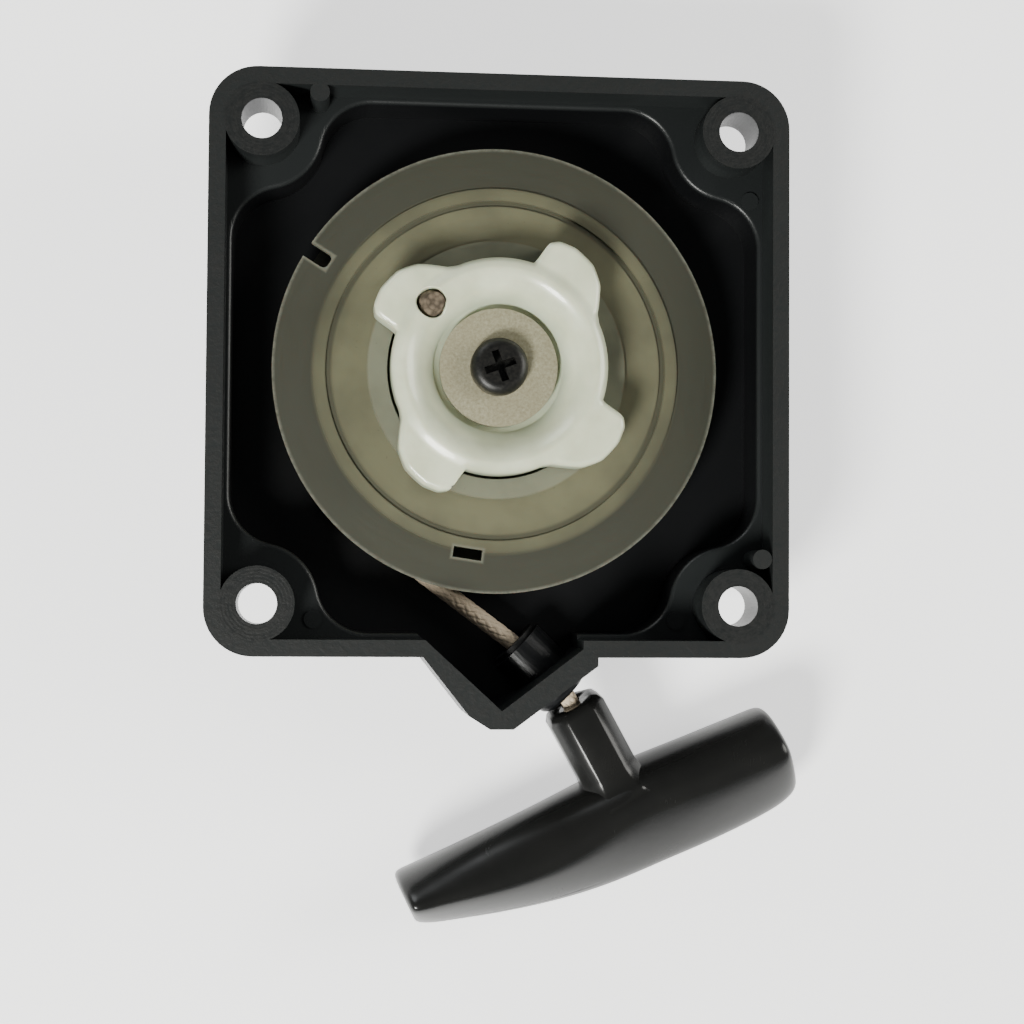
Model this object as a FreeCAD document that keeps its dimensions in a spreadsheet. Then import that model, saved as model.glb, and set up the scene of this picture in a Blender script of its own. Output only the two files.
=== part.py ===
"""Recoil starter of a small two-stroke engine, seen from its open side.

Millimetres, +Z up. The origin is the centre of the mounting face, on the reel's axis;
+Z points out of the open side, towards the engine. The housing hangs below z = 0 and the
rope leaves it at the nose on the -Y side.
"""
import FreeCAD
import Part
import Sketcher
import math
import os
from FreeCAD import Matrix, Placement, Rotation, Vector

# Driving dimensions, in millimetres and degrees.
SIZES = {
    # housing
    "rim_size": 90.0, "rim_corner": 7.5, "lug_depth": 11.0,
    "shelf_depth": 7.5, "pocket_size": 84.8, "pocket_corner": 4.9,
    "cavity_size": 83.0, "scallop": 9.46, "scallop_blend": 8.0,
    "case_size": 89.2, "case_hollow": 9.7, "case_hollow_spacing": 78.0,
    "floor_depth": 17.0, "block_depth": 19.6, "cup_outer": 34.2, "chamber": 31.4,
    "chamber_depth": 25.3, "back_depth": 28.0, "back_edge": 2.5, "case_edge": 1.5, "dish": 24.0,
    "dish_depth": 0.6, "bolt_spacing": 74.0, "boss": 5.75, "bolt_hole": 3.1,
    "peg": 1.5, "peg_top_x": -28.2, "peg_top_y": 41.3, "peg_low_x": 40.8, "peg_low_y": -29.7,
    "mark_side_x": 40.3, "mark_side_y": 27.6, "mark_low_x": 28.5, "mark_low_y": -39.4,
    "mark": 1.4, "mark_height": 0.2,
    "post": 5.5, "post_top": 6.1, "rib_thick": 1.8, "rib_drop": 4.6, "rib_inner": 33.0,
    "rib_outer": 41.5, "ridge_round": 0.7, "sink": 0.5, "seat": 5.2, "seat_depth": 1.2,
    # nose outline, outside and inside
    "nose_left": 12.6, "nose_left_out": 43.9, "nose_shoulder_x": 4.6,
    "nose_shoulder": 54.0, "nose_tip_left": 1.4, "nose_tip": 56.0, "nose_tip_right": 2.2,
    "nose_right": 15.2, "nose_right_out": 46.3, "nose_base": 40.0,
    "vee_left": 12.6, "vee_left_in": 41.3, "vee_tip_x": 0.4, "vee_tip": 53.2,
    "vee_right": 12.9, "vee_right_in": 43.7,
    # rope guide
    "rope_level": 13.1, "exit_angle": -44.0, "guide_x": 3.7, "guide_y": -43.4,
    "guide_boss": 4.7, "guide_boss_round": 1.6, "guide_start": 0.2, "guide_end": 11.4, "bush": 2.9,
    "bush_bore": 1.75, "bush_flange": 3.9, "bush_flange_thick": 0.8, "bush_round": 0.6,
    # insert, washer and screw
    "insert": 3.35, "insert_bore": 2.5, "insert_length": 14.0,
    "washer": 9.25, "washer_bore": 2.65, "washer_thick": 1.1,
    "head": 4.5, "head_height": 2.9, "head_round": 1.6, "shank": 2.45,
    "shank_length": 14.0, "cross_length": 5.0, "cross_width": 1.15, "cross_depth": 2.0,
    "cross_turn": 20.0,
    # reel
    "reel_bore": 5.56, "sleeve": 8.6, "sleeve_bottom": 25.2, "lower_flange": 33.9,
    "lower_bottom": 16.6, "lower_top": 15.2, "core": 18.5, "flange": 35.3,
    "flange_bottom": 11.1, "flange_top": 9.5, "step": 28.9, "step_top": 9.1,
    "line": 26.5, "line_half": 0.45, "line_depth": 9.4, "ring": 20.4, "ring_top": 8.3,
    "socket": 17.3, "socket_floor": 12.2,
    "notch_angle": 148.0, "notch_width": 2.5, "notch_depth": 4.1, "notch_round": 0.9,
    "cut_depth": 4.0, "hook_reach": 2.6, "hook_sink": 0.6, "hook_height": 8.8,
    "slot_angle": 261.5, "slot_radius": 29.3, "slot_length": 4.6, "slot_width": 1.7,
    # drive hub
    "hub": 16.9, "hub_bore": 5.6, "hub_bottom": 12.1, "hub_floor": 6.2,
    "hub_side": 2.4, "hub_shoulder": 15.9, "hub_crest": 1.3, "hub_crest_inner": 14.0,
    "bowl_mid": 12.0, "bowl_mid_depth": 3.0, "bowl_low": 10.5, "bowl_low_depth": 4.9,
    "bowl_foot": 10.0, "dog": 21.2, "dog_root": 14.6, "dog_top": 0.8, "dog_bottom": 7.7,
    "dog_angle": 70.5, "dog_span": 43.5,
    "knot_angle": 138.5, "knot_radius": 14.4, "knot_hole": 2.15,
    "key_width": 3.0, "key_reach": 18.3, "key_height": 2.4, "key_angle": 30.0,
    "key_play": 0.1,
    # recoil spring
    "strip": 0.4, "spring_outer": 30.5, "spring_pitch": 1.0, "spring_turns": 20.0,
    "spring_bottom": 24.9, "spring_top": 18.2, "hook": 2.0, "inner_hook": 2.6, "hook_slot": 1.4,
    # rope
    "rope": 1.4, "wind_inner": 20.1, "wind_pitch": 2.95, "wind_turns": 3.0,
    "run_radius": 32.6, "run_arc": 42.0, "run_bend": 8.0, "end_gap": 0.5,
    # handle, in its own frame: across the bar, up, and along the stem
    "pull_angle": -60.0, "droop": 13.0, "stem_gap": 1.5, "stem_round": 1.6,
    "stem_width": 9.6, "stem_length": 15.2, "stem_chamfer": 2.4,
    "bar_height": 15.6, "bar_left": 37.9, "bar_right": 27.0, "bar_depth": 15.2,
    "bar_left_depth": 6.6, "bar_right_depth": 13.8, "bar_sweep": 2.2, "bar_end_round": 3.0, "bar_edge": 2.4,
    "bar_lean": 4.0,
    "tail_bore": 1.6, "knot_pocket": 4.3, "pocket_start": 16.6,
    "knot_washer": 4.0, "knot_washer_thick": 0.8, "knot": 3.3, "tail_gap": 0.2,
}

doc = FreeCAD.newDocument("RecoilStarter")
sheet = doc.addObject("Spreadsheet::Sheet", "Sizes")
for row, (alias, number) in enumerate(SIZES.items(), start=1):
    sheet.set("A%d" % row, alias)
    sheet.set("B%d" % row, str(number))
    sheet.setAlias("B%d" % row, alias)
doc.recompute()

UP = Vector(0, 0, 1)
nodes = []


def size(alias):
    """The value of one cell of the sheet."""
    return float(sheet.get(alias))


def bind(thing, **expressions):
    """Bind properties to expressions on the sheet; a double underscore stands for a dot."""
    for name, expression in expressions.items():
        thing.setExpression(name.replace("__", "."), expression)
    return thing


def node(thing, name):
    """Mark a finished sub-part; its label names its file."""
    thing.Label = name
    nodes.append(thing)
    return thing


def block(name, length, width, height, x, y, z):
    thing = doc.addObject("Part::Box", name)
    return bind(thing, Length=length, Width=width, Height=height,
                Placement__Base__x=x, Placement__Base__y=y, Placement__Base__z=z)


def rod(name, radius, height, x="0", y="0", z="0"):
    thing = doc.addObject("Part::Cylinder", name)
    return bind(thing, Radius=radius, Height=height,
                Placement__Base__x=x, Placement__Base__y=y, Placement__Base__z=z)


def aimed_rod(name, radius, height, start, way):
    """A cylinder from a point along a direction."""
    thing = bind(doc.addObject("Part::Cylinder", name), Radius=radius, Height=height)
    thing.Placement = Placement(start, Rotation(UP, way))
    return thing


def turned_box(name, length, width, height, middle, degrees):
    """A box centred on a point, its length along a direction in the XY plane."""
    thing = doc.addObject("Part::Box", name)
    bind(thing, Length=length, Width=width, Height=height)
    doc.recompute()
    turn = Rotation(UP, degrees)
    half = Vector(thing.Length.Value / 2, thing.Width.Value / 2, thing.Height.Value / 2)
    thing.Placement = Placement(middle - turn.multVec(half), turn)
    return thing


def fuse(name, things):
    thing = doc.addObject("Part::MultiFuse", name)
    thing.Shapes = things
    thing.Refine = True
    return thing


def cut(name, base, tool):
    thing = doc.addObject("Part::Cut", name)
    thing.Base = base
    thing.Tool = tool
    thing.Refine = True
    return thing


def feature(name, shape, placement=Placement()):
    """A sub-part whose shape no sketch or primitive gives."""
    thing = doc.addObject("Part::Feature", name)
    thing.Shape = shape
    thing.Placement = placement
    return thing


def rounded(name, base, radius, wanted):
    """Round those edges of base that the test wanted picks out."""
    doc.recompute()
    thing = doc.addObject("Part::Fillet", name)
    thing.Base = base
    thing.Edges = [(number, radius, radius)
                   for number, edge in enumerate(base.Shape.Edges, start=1) if wanted(edge)]
    return thing


def upright(edge):
    first, last = edge.Vertexes[0].Point, edge.Vertexes[-1].Point
    return abs(first.x - last.x) + abs(first.y - last.y) < 1e-6 and abs(first.z - last.z) > 1e-3


def at_level(z):
    """A test for edges that lie flat at height z."""
    def wanted(edge):
        box = edge.BoundBox
        return abs(box.ZMin - z) < 1e-4 and abs(box.ZMax - z) < 1e-4
    return wanted


def origin_plane(body, role):
    return next(item for item in body.Origin.OriginFeatures if item.Role == role)


def outline_sketch(body, role, name, corners):
    """A closed outline whose corners are cells of the sheet, a minus sign turning one round."""
    sketch = body.newObject("Sketcher::SketchObject", name)
    sketch.AttachmentSupport = [(origin_plane(body, role), "")]
    sketch.MapMode = "FlatFace"

    def value(spec):
        return -size(spec[1:]) if spec.startswith("-") else size(spec)

    points = [Vector(value(x), value(y), 0) for x, y in corners]
    for start, end in zip(points, points[1:] + points[:1]):
        sketch.addGeometry(Part.LineSegment(start, end), False)
    count = len(points)
    for index in range(count):
        after = (index + 1) % count
        sketch.addConstraint(Sketcher.Constraint("Coincident", index, 2, after, 1))
    for index, corner in enumerate(corners):
        for kind, spec in zip(("DistanceX", "DistanceY"), corner):
            alias = spec.lstrip("-")
            ends = (index, 1, -1, 1) if spec.startswith("-") else (-1, 1, index, 1)
            number = sketch.addConstraint(Sketcher.Constraint(kind, *ends, size(alias)))
            sketch.setExpression("Constraints[%d]" % number, "Sizes." + alias)
    return sketch


def turned(name, corners):
    """A body turned about the Z axis from an outline of radii and depths."""
    body = doc.addObject("PartDesign::Body", name)
    sketch = outline_sketch(body, "XZ_Plane", name + "_outline", corners)
    turn = body.newObject("PartDesign::Revolution", name + "_turn")
    turn.Profile = sketch
    turn.ReferenceAxis = (sketch, ["V_Axis"])
    turn.Angle = 360
    return body


def plate(name, corners, depth):
    """A body padded down from z = 0 from an outline in the XY plane."""
    body = doc.addObject("PartDesign::Body", name)
    sketch = outline_sketch(body, "XY_Plane", name + "_outline", corners)
    pad = body.newObject("PartDesign::Pad", name + "_pad")
    pad.Profile = sketch
    pad.Reversed = True
    pad.setExpression("Length", depth)
    return body


def polar(radius, degrees, z=0.0):
    turn = math.radians(degrees)
    return Vector(radius * math.cos(turn), radius * math.sin(turn), z)


def spiral_edges(start_radius, pitch, turns, z=0.0):
    """Half circles that meet in tangents and wind outwards by pitch a turn, anticlockwise."""
    edges = []
    radius, centre = start_radius, 0.0
    for half in range(int(round(2 * turns))):
        side = 1 if half % 2 == 0 else -1
        ends = (0, 180) if side > 0 else (180, 360)
        circle = Part.Circle(Vector(centre, 0, z), UP, radius)
        edges.append(Part.Arc(circle, math.radians(ends[0]), math.radians(ends[1])).toShape())
        radius += pitch / 2
        centre += side * pitch / 2
    return edges


# ---------------------------------------------------------------- directions of the rope

exit_way = polar(1, size("exit_angle"))
guide_point = Vector(size("guide_x"), size("guide_y"), -size("rope_level"))
outlet = guide_point + exit_way * size("guide_end")
flat_pull = polar(1, size("pull_angle"))
droop = math.radians(size("droop"))
pull_way = flat_pull * math.cos(droop) - UP * math.sin(droop)
stem_top = outlet + pull_way * size("stem_gap")


def handle_frame():
    """Placement of the handle: X across the bar, Y up off it, Z along the stem."""
    across = UP.cross(pull_way).normalize()
    rise = pull_way.cross(across)
    turn = Matrix(across.x, rise.x, pull_way.x, 0, across.y, rise.y, pull_way.y, 0,
                  across.z, rise.z, pull_way.z, 0, 0, 0, 0, 1)
    return Placement(stem_top, Placement(turn).Rotation)


# ------------------------------------------------------------------------------- housing

def scalloped(name, side, spacing, radius, blend, depth):
    """A square prism, hollowed round the four bolts, with blended corners."""
    base = block(name + "_square", side, side, depth,
                 "-(%s) / 2" % side, "-(%s) / 2" % side, "-(%s)" % depth)
    hollows = []
    for number, (x, y) in enumerate(((1, 1), (-1, 1), (-1, -1), (1, -1))):
        hollows.append(rod("%s_hollow_%d" % (name, number), radius, depth,
                           "%d * %s / 2" % (x, spacing), "%d * %s / 2" % (y, spacing),
                           "-(%s)" % depth))
    shape = cut(name + "_cut", base, fuse(name + "_hollows", hollows))
    return rounded(name, shape, blend, upright)


def corner_rods(name, radius, height, z):
    return fuse(name, [
        rod("%s_%d" % (name, number), radius, height, "%d * Sizes.bolt_spacing / 2" % x,
            "%d * Sizes.bolt_spacing / 2" % y, z)
        for number, (x, y) in enumerate(((1, 1), (-1, 1), (-1, -1), (1, -1)))])


def hollow():
    """The shallow pocket in the rim and the scalloped cavity, round bosses and pegs."""
    square = rounded("pocket_square", block(
        "pocket_block", "Sizes.pocket_size", "Sizes.pocket_size", "Sizes.shelf_depth",
        "-Sizes.pocket_size / 2", "-Sizes.pocket_size / 2", "-Sizes.shelf_depth"),
        size("pocket_corner"), upright)
    cavity = scalloped("cavity", "Sizes.cavity_size", "Sizes.bolt_spacing",
                       "Sizes.scallop", size("scallop_blend"), "Sizes.floor_depth")
    reach = size("cavity_size") / 2 + 0.05

    def ridge(edge):
        box = edge.BoundBox
        inner = max(box.XMax, -box.XMin, box.YMax, -box.YMin) < reach
        return inner and at_level(-size("shelf_depth"))(edge)
    space = rounded("space", fuse("sharp_space", [square, cavity]), size("ridge_round"), ridge)
    pegs = [rod("peg_%d" % number, "Sizes.peg", "Sizes.shelf_depth + Sizes.sink", x, y,
                "-(Sizes.shelf_depth + Sizes.sink)")
            for number, (x, y) in enumerate((("Sizes.peg_top_x", "Sizes.peg_top_y"),
                                             ("Sizes.peg_low_x", "Sizes.peg_low_y")))]
    marks = [rod("mark_%d" % number, "Sizes.mark", "Sizes.mark_height + Sizes.sink", x, y,
                 "-(Sizes.shelf_depth + Sizes.sink)")
             for number, (x, y) in enumerate((("Sizes.mark_side_x", "Sizes.mark_side_y"),
                                              ("Sizes.mark_low_x", "Sizes.mark_low_y"),
                                              ("-Sizes.mark_low_x", "Sizes.mark_low_y")))]
    bosses = corner_rods("bosses", "Sizes.boss", "Sizes.shelf_depth + Sizes.sink",
                         "-(Sizes.shelf_depth + Sizes.sink)")
    return cut("hollow", space, fuse("islands", [bosses] + pegs + marks))


def housing():
    """One moulding: square rim, scalloped case, round spring cup, rope nose and post."""
    rim = rounded("rim", block("rim_block", "Sizes.rim_size", "Sizes.rim_size",
                               "Sizes.lug_depth", "-Sizes.rim_size / 2",
                               "-Sizes.rim_size / 2", "-Sizes.lug_depth"),
                  size("rim_corner"), upright)
    case = scalloped("case", "Sizes.case_size", "Sizes.case_hollow_spacing",
                     "Sizes.case_hollow", size("scallop_blend"), "Sizes.block_depth")
    case = rounded("case_rounded", case, size("case_edge"), at_level(-size("block_depth")))
    nose = plate("nose", [("-nose_left", "-nose_left_out"),
                          ("-nose_shoulder_x", "-nose_shoulder"),
                          ("-nose_tip_left", "-nose_tip"), ("nose_tip_right", "-nose_tip"),
                          ("nose_right", "-nose_right_out"), ("nose_right", "-nose_base"),
                          ("-nose_left", "-nose_base")], "Sizes.block_depth")
    cup = rounded("cup", rod("cup_rod", "Sizes.cup_outer", "Sizes.back_depth",
                             z="-Sizes.back_depth"),
                  size("back_edge"), at_level(-size("back_depth")))
    ribs = []
    for number in range(8):
        middle = polar((size("rib_inner") + size("rib_outer")) / 2, 45 * number,
                       0.5 - size("block_depth") - size("rib_drop") / 2)
        ribs.append(turned_box("rib_%d" % number, "Sizes.rib_outer - Sizes.rib_inner",
                               "Sizes.rib_thick", "Sizes.rib_drop", middle, 45 * number))
    outside = fuse("outside", [rim, case, nose, cup] + ribs)

    vee = plate("vee", [("-vee_left", "-vee_left_in"), ("vee_tip_x", "-vee_tip"),
                        ("vee_right", "-vee_right_in"), ("vee_right", "-nose_base"),
                        ("-vee_left", "-nose_base")], "Sizes.floor_depth")
    chamber = rod("chamber_space", "Sizes.chamber", "Sizes.chamber_depth",
                  z="-Sizes.chamber_depth")
    dish = rod("dish_space", "Sizes.dish", "Sizes.dish_depth", z="-Sizes.back_depth")
    anchor = block("spring_anchor", "Sizes.hook + 0.3", "Sizes.hook_slot",
                   "Sizes.chamber_depth - Sizes.floor_depth", "Sizes.chamber - 0.5",
                   "-Sizes.hook_slot / 2", "-Sizes.chamber_depth")
    seats = corner_rods("screw_seats", "Sizes.seat", "Sizes.seat_depth", "-Sizes.lug_depth")
    inside = fuse("inside", [hollow(), vee, chamber, dish, anchor, seats])
    shell = cut("shell", outside, inside)

    post = rod("post", "Sizes.post", "Sizes.back_depth - Sizes.post_top - Sizes.dish_depth",
               z="-(Sizes.back_depth - Sizes.dish_depth)")
    boss = aimed_rod("guide_boss_rod", "Sizes.guide_boss",
                     "Sizes.guide_end - Sizes.guide_start",
                     guide_point + exit_way * size("guide_start"), exit_way)

    def boss_end(edge):
        return edge.BoundBox.Center.distanceToPoint(outlet) < 0.1
    boss = rounded("guide_boss_end", boss, size("guide_boss_round"), boss_end)
    filled = fuse("filled", [shell, post, boss])

    bush_hole = aimed_rod("bush_hole", "Sizes.bush", "Sizes.guide_end + 2",
                          guide_point - exit_way, exit_way)
    insert_hole = rod("insert_hole", "Sizes.insert", "Sizes.insert_length + 1",
                      z="-(Sizes.post_top + Sizes.insert_length)")
    holes = corner_rods("bolt_holes", "Sizes.bolt_hole", "Sizes.back_depth",
                        "-Sizes.back_depth")
    drilled = cut("drilled", filled, fuse("drills", [bush_hole, insert_hole, holes]))
    return node(drilled, "housing")


def rope_guide():
    """Flanged bush pressed into the nose, its mouths rounded for the rope."""
    length = size("guide_end") - size("guide_start")
    tube = rod("bush_tube", "Sizes.bush", "Sizes.guide_end - Sizes.guide_start")
    flange = rod("bush_flange_disc", "Sizes.bush_flange", "Sizes.bush_flange_thick",
                 z="-Sizes.bush_flange_thick")
    bore = rod("bush_bore_rod", "Sizes.bush_bore", "%g" % (length + 4), z="-2")
    bush = cut("bush_cut", fuse("bush_solid", [tube, flange]), bore)

    def mouth(edge):
        curve = edge.Curve
        return hasattr(curve, "Radius") and abs(curve.Radius - size("bush_bore")) < 1e-6
    guide = rounded("bush_rounded", bush, size("bush_round"), mouth)
    guide.Placement = Placement(guide_point + exit_way * size("guide_start"),
                                Rotation(UP, exit_way))
    return node(guide, "rope_guide")


def post_insert():
    """Threaded brass insert in the post, shown by its minor bore."""
    tube = rod("insert_tube", "Sizes.insert", "Sizes.insert_length",
               z="-(Sizes.post_top + Sizes.insert_length)")
    bore = rod("insert_bore_rod", "Sizes.insert_bore", "Sizes.insert_length + 2",
               z="-(Sizes.post_top + Sizes.insert_length + 1)")
    return node(cut("insert", tube, bore), "post_insert")


def retaining_washer():
    disc = rod("washer_disc", "Sizes.washer", "Sizes.washer_thick", z="-Sizes.post_top")
    bore = rod("washer_hole", "Sizes.washer_bore", "Sizes.washer_thick + 2",
               z="-(Sizes.post_top + 1)")
    return node(cut("washer_ring", disc, bore), "retaining_washer")


def centre_screw():
    """Pan-head machine screw with a cross recess."""
    seat = "-(Sizes.post_top - Sizes.washer_thick)"
    head = rod("screw_head", "Sizes.head", "Sizes.head_height", z=seat)
    top = size("head_height") + size("washer_thick") - size("post_top")
    pan = rounded("screw_pan", head, size("head_round"), at_level(top))
    shank = rod("screw_shank", "Sizes.shank", "Sizes.shank_length",
                z="-(Sizes.post_top - Sizes.washer_thick + Sizes.shank_length)")
    slots = []
    for number in range(2):
        slots.append(turned_box("cross_%d" % number, "Sizes.cross_length",
                                "Sizes.cross_width", "Sizes.cross_depth * 2",
                                UP * top, size("cross_turn") + 90 * number))
    return node(cut("screw", fuse("screw_blank", [pan, shank]), fuse("cross", slots)),
                "centre_screw")


# ---------------------------------------------------------------------- reel and drive hub

def keys(name, play):
    """Two keys that lock the drive hub in the reel."""
    reach = "Sizes.key_reach - Sizes.bowl_mid"
    middle = (size("key_reach") + size("bowl_mid")) / 2
    level = -size("hub_bottom") + size("key_height") / 2
    return [turned_box("%s_%d" % (name, number), reach + " + %g" % play,
                       "Sizes.key_width + %g" % (2 * play),
                       "Sizes.key_height + %g" % (2 * play),
                       polar(middle, size("key_angle") + 180 * number, level),
                       size("key_angle") + 180 * number)
            for number in range(2)]


def reel():
    """Nylon rope reel: two flanges, a hub socket on top and a spring sleeve below."""
    body = turned("reel_body", [
        ("reel_bore", "-sleeve_bottom"), ("sleeve", "-sleeve_bottom"),
        ("sleeve", "-lower_bottom"), ("lower_flange", "-lower_bottom"),
        ("lower_flange", "-lower_top"), ("core", "-lower_top"), ("core", "-flange_bottom"),
        ("flange", "-flange_bottom"), ("flange", "-flange_top"), ("step", "-flange_top"),
        ("step", "-step_top"), ("ring", "-step_top"), ("ring", "-ring_top"),
        ("socket", "-ring_top"), ("socket", "-socket_floor"), ("reel_bore", "-socket_floor")])
    line_disc = rod("line_outer", "Sizes.line + Sizes.line_half", "1", z="-Sizes.line_depth")
    line_core = rod("line_inner", "Sizes.line - Sizes.line_half", "1", z="-Sizes.line_depth")
    line = cut("line_ring", line_disc, line_core)
    level = -(size("flange_top") + size("flange_bottom")) / 2
    notch_middle = polar(size("flange") - size("notch_depth") / 2 + 1, size("notch_angle"), level)
    notch = rounded("notch", turned_box("sharp_notch", "Sizes.notch_depth + 2",
                                        "Sizes.notch_width", "Sizes.cut_depth", notch_middle,
                                        size("notch_angle")),
                    size("notch_round"), upright)
    slot = turned_box("sight_slot", "Sizes.slot_width", "Sizes.slot_length",
                      "Sizes.cut_depth", polar(size("slot_radius"), size("slot_angle"), level),
                      size("slot_angle"))
    hook_level = -(size("spring_bottom") + size("spring_top")) / 2
    hook_notch = turned_box("hook_notch", "Sizes.hook_reach", "Sizes.hook_slot",
                            "Sizes.hook_height",
                            polar(size("sleeve") - size("hook_sink"), 0, hook_level), 0)
    way = polar(1, size("knot_angle"))
    rope_way = aimed_rod("rope_way", "Sizes.rope + 0.15", "8",
                         way * (size("knot_radius") - 1.4) - UP * size("rope_level"), way)
    cuts = [line, notch, slot, hook_notch, rope_way] + keys("key_slot", size("key_play"))
    return node(cut("reel_cut", body, fuse("reel_cuts", cuts)), "reel")


def dog_shape(start):
    """One driving dog: a steep leading face and a tail that runs back into the hub."""
    low, tip, root = -size("dog_bottom"), size("dog"), size("dog_root")
    tail = start - size("dog_span")
    first = polar(root, start, low)
    corner = polar(tip - 0.9, start, low)
    crown = polar(tip, start - 5, low)
    middle = polar(tip, start - 0.45 * size("dog_span"), low)
    shoulder = polar(tip - 0.5, tail + 10, low)
    last = polar(root, tail, low)
    edges = [Part.LineSegment(first, corner).toShape(),
             Part.Arc(corner, polar(tip - 0.15, start - 1.8, low), crown).toShape(),
             Part.Arc(crown, middle, shoulder).toShape(),
             Part.Arc(shoulder, polar(tip - 2.4, tail + 3.5, low), last).toShape(),
             Part.Arc(last, polar(root, start - size("dog_span") / 2, low), first).toShape()]
    face = Part.Face(Part.Wire(edges))
    return face.extrude(UP * (size("dog_bottom") - size("dog_top")))


def drive_hub():
    """Whiter nylon hub with a bowl for the washer and four dogs for the engine's pawls."""
    body = turned("hub_body", [
        ("hub_bore", "-hub_bottom"), ("hub", "-hub_bottom"), ("hub", "-hub_side"),
        ("hub_shoulder", "-hub_crest"), ("hub_crest_inner", "-hub_crest"),
        ("bowl_mid", "-bowl_mid_depth"), ("bowl_low", "-bowl_low_depth"),
        ("bowl_foot", "-hub_floor"), ("hub_bore", "-hub_floor")])
    dogs = [feature("dog_%d" % number, dog_shape(size("dog_angle") + 90 * number))
            for number in range(4)]
    knot = polar(size("knot_radius"), size("knot_angle"))
    hole = aimed_rod("knot_hole_rod", "Sizes.knot_hole", "Sizes.hub_bottom + 2",
                     knot - UP * (size("hub_bottom") + 1), UP)
    blank = fuse("hub_blank", [body] + dogs + keys("hub_key", 0.0))
    return node(cut("hub_cut", blank, hole), "drive_hub")


# ------------------------------------------------------------------- spring and the rope

def recoil_spring():
    """Flat spiral of steel strip, hooked in the case outside and in the reel inside."""
    half, pitch = size("strip") / 2, size("spring_pitch")
    inner = size("spring_outer") - pitch * size("spring_turns")
    outside = spiral_edges(inner + half, pitch, size("spring_turns"))
    inside = spiral_edges(inner - half, pitch, size("spring_turns"))
    start = Part.LineSegment(Vector(inner - half, 0, 0), Vector(inner + half, 0, 0)).toShape()
    far = [edges[-1].Vertexes[-1].Point for edges in (inside, outside)]
    end = Part.LineSegment(*far).toShape()
    wire = Part.Wire(Part.__sortEdges__(outside + [end] + inside + [start]))
    tall = size("spring_bottom") - size("spring_top")
    strip = Part.Face(wire).extrude(UP * tall)
    hook = size("hook")
    inner_hook = Part.makeBox(size("inner_hook"), 2 * half, tall,
                              Vector(inner + half - size("inner_hook"), -half, 0))
    outer_hook = Part.makeBox(hook, 2 * half, tall,
                              Vector(size("spring_outer") - half, -half, 0))
    solid = strip.fuse([inner_hook, outer_hook]).removeSplitter()
    turned_over = Rotation(Vector(1, 0, 0), 180)
    return node(feature("spring", solid, Placement(UP * -size("spring_top"), turned_over)),
                "recoil_spring")


def pipe(edges, radius, start, way):
    """A round rope swept along edges that meet in tangents."""
    section = Part.Wire(Part.Circle(start, way, radius).toShape())
    return Part.Wire(edges).makePipeShell([section], True, True)


def rope_winding():
    """The rope wound on the reel, with its inner end led up into the drive hub."""
    rope, level = size("rope"), -size("rope_level")
    start = Vector(size("wind_inner"), 0, level)
    turns = pipe(spiral_edges(size("wind_inner"), size("wind_pitch"), size("wind_turns"),
                              level), rope, start, Vector(0, 1, 0))
    inward = Part.makeCylinder(rope, size("wind_inner") - size("knot_radius"),
                               Vector(size("knot_radius"), 0, level), Vector(1, 0, 0))
    corner = Part.makeSphere(rope, Vector(size("knot_radius"), 0, level))
    riser = Part.makeCylinder(rope, size("rope_level") - size("hub_side") - 2.6,
                              Vector(size("knot_radius"), 0, level))
    solid = turns.fuse([inward, corner, riser]).removeSplitter()
    return node(feature("winding", solid,
                        Placement(Vector(), Rotation(UP, size("knot_angle")))),
                "rope_winding")


def hub_knot():
    """The stopper end of the rope, drawn down into the hub's hole."""
    radius = size("knot_hole") - 0.1
    knot = Part.makeSphere(radius).fuse(
        Part.makeCylinder(size("rope"), 1.9, Vector(0.2, 0, 0), Vector(0.25, 0.1, 1)))
    place = polar(size("knot_radius"), size("knot_angle"), -size("hub_side") - 2.6 + radius)
    return node(feature("hub_knot_solid", knot.removeSplitter(),
                        Placement(place, Rotation())), "hub_knot")


def tangent_angle():
    """Where a straight rope from the guide's mouth meets the outer turn."""
    reach = math.hypot(guide_point.x, guide_point.y)
    toward = math.degrees(math.atan2(guide_point.y, guide_point.x))
    return toward - math.degrees(math.acos(size("run_radius") / reach))


def rope_run():
    """The rope from the reel's outer turn, straight to the guide and out through it."""
    angle, radius, level = tangent_angle(), size("run_radius"), -size("rope_level")
    leave = polar(radius, angle, level)
    way = (guide_point - leave).normalize()
    half_turn = abs(way.getAngle(exit_way)) / 2
    back = size("run_bend") * math.tan(half_turn)
    bend_in, bend_out = guide_point - way * back, guide_point + exit_way * back
    sagitta = size("run_bend") * (1 / math.cos(half_turn) - 1)
    bisector = (exit_way - way).normalize()
    last = outlet - exit_way * size("end_gap")
    circle = Part.Circle(Vector(0, 0, level), UP, radius)
    first_angle = angle - size("run_arc")
    edges = [Part.Arc(circle, math.radians(first_angle), math.radians(angle)).toShape(),
             Part.LineSegment(leave, bend_in).toShape(),
             Part.Arc(bend_in, guide_point + bisector * sagitta, bend_out).toShape(),
             Part.LineSegment(bend_out, last).toShape()]
    start = polar(radius, first_angle, level)
    return node(feature("run", pipe(edges, size("rope"), start,
                                    polar(1, first_angle + 90))), "rope_run")


def rope_tail():
    """The last of the rope, inside the handle's stem."""
    length = size("pocket_start") + size("knot_washer_thick") + size("stem_gap") - size("tail_gap")
    tail = Part.makeCylinder(size("rope"), length,
                             Vector(0, 0, size("tail_gap") - size("stem_gap")))
    return node(feature("tail", tail, handle_frame()), "rope_tail")


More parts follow.
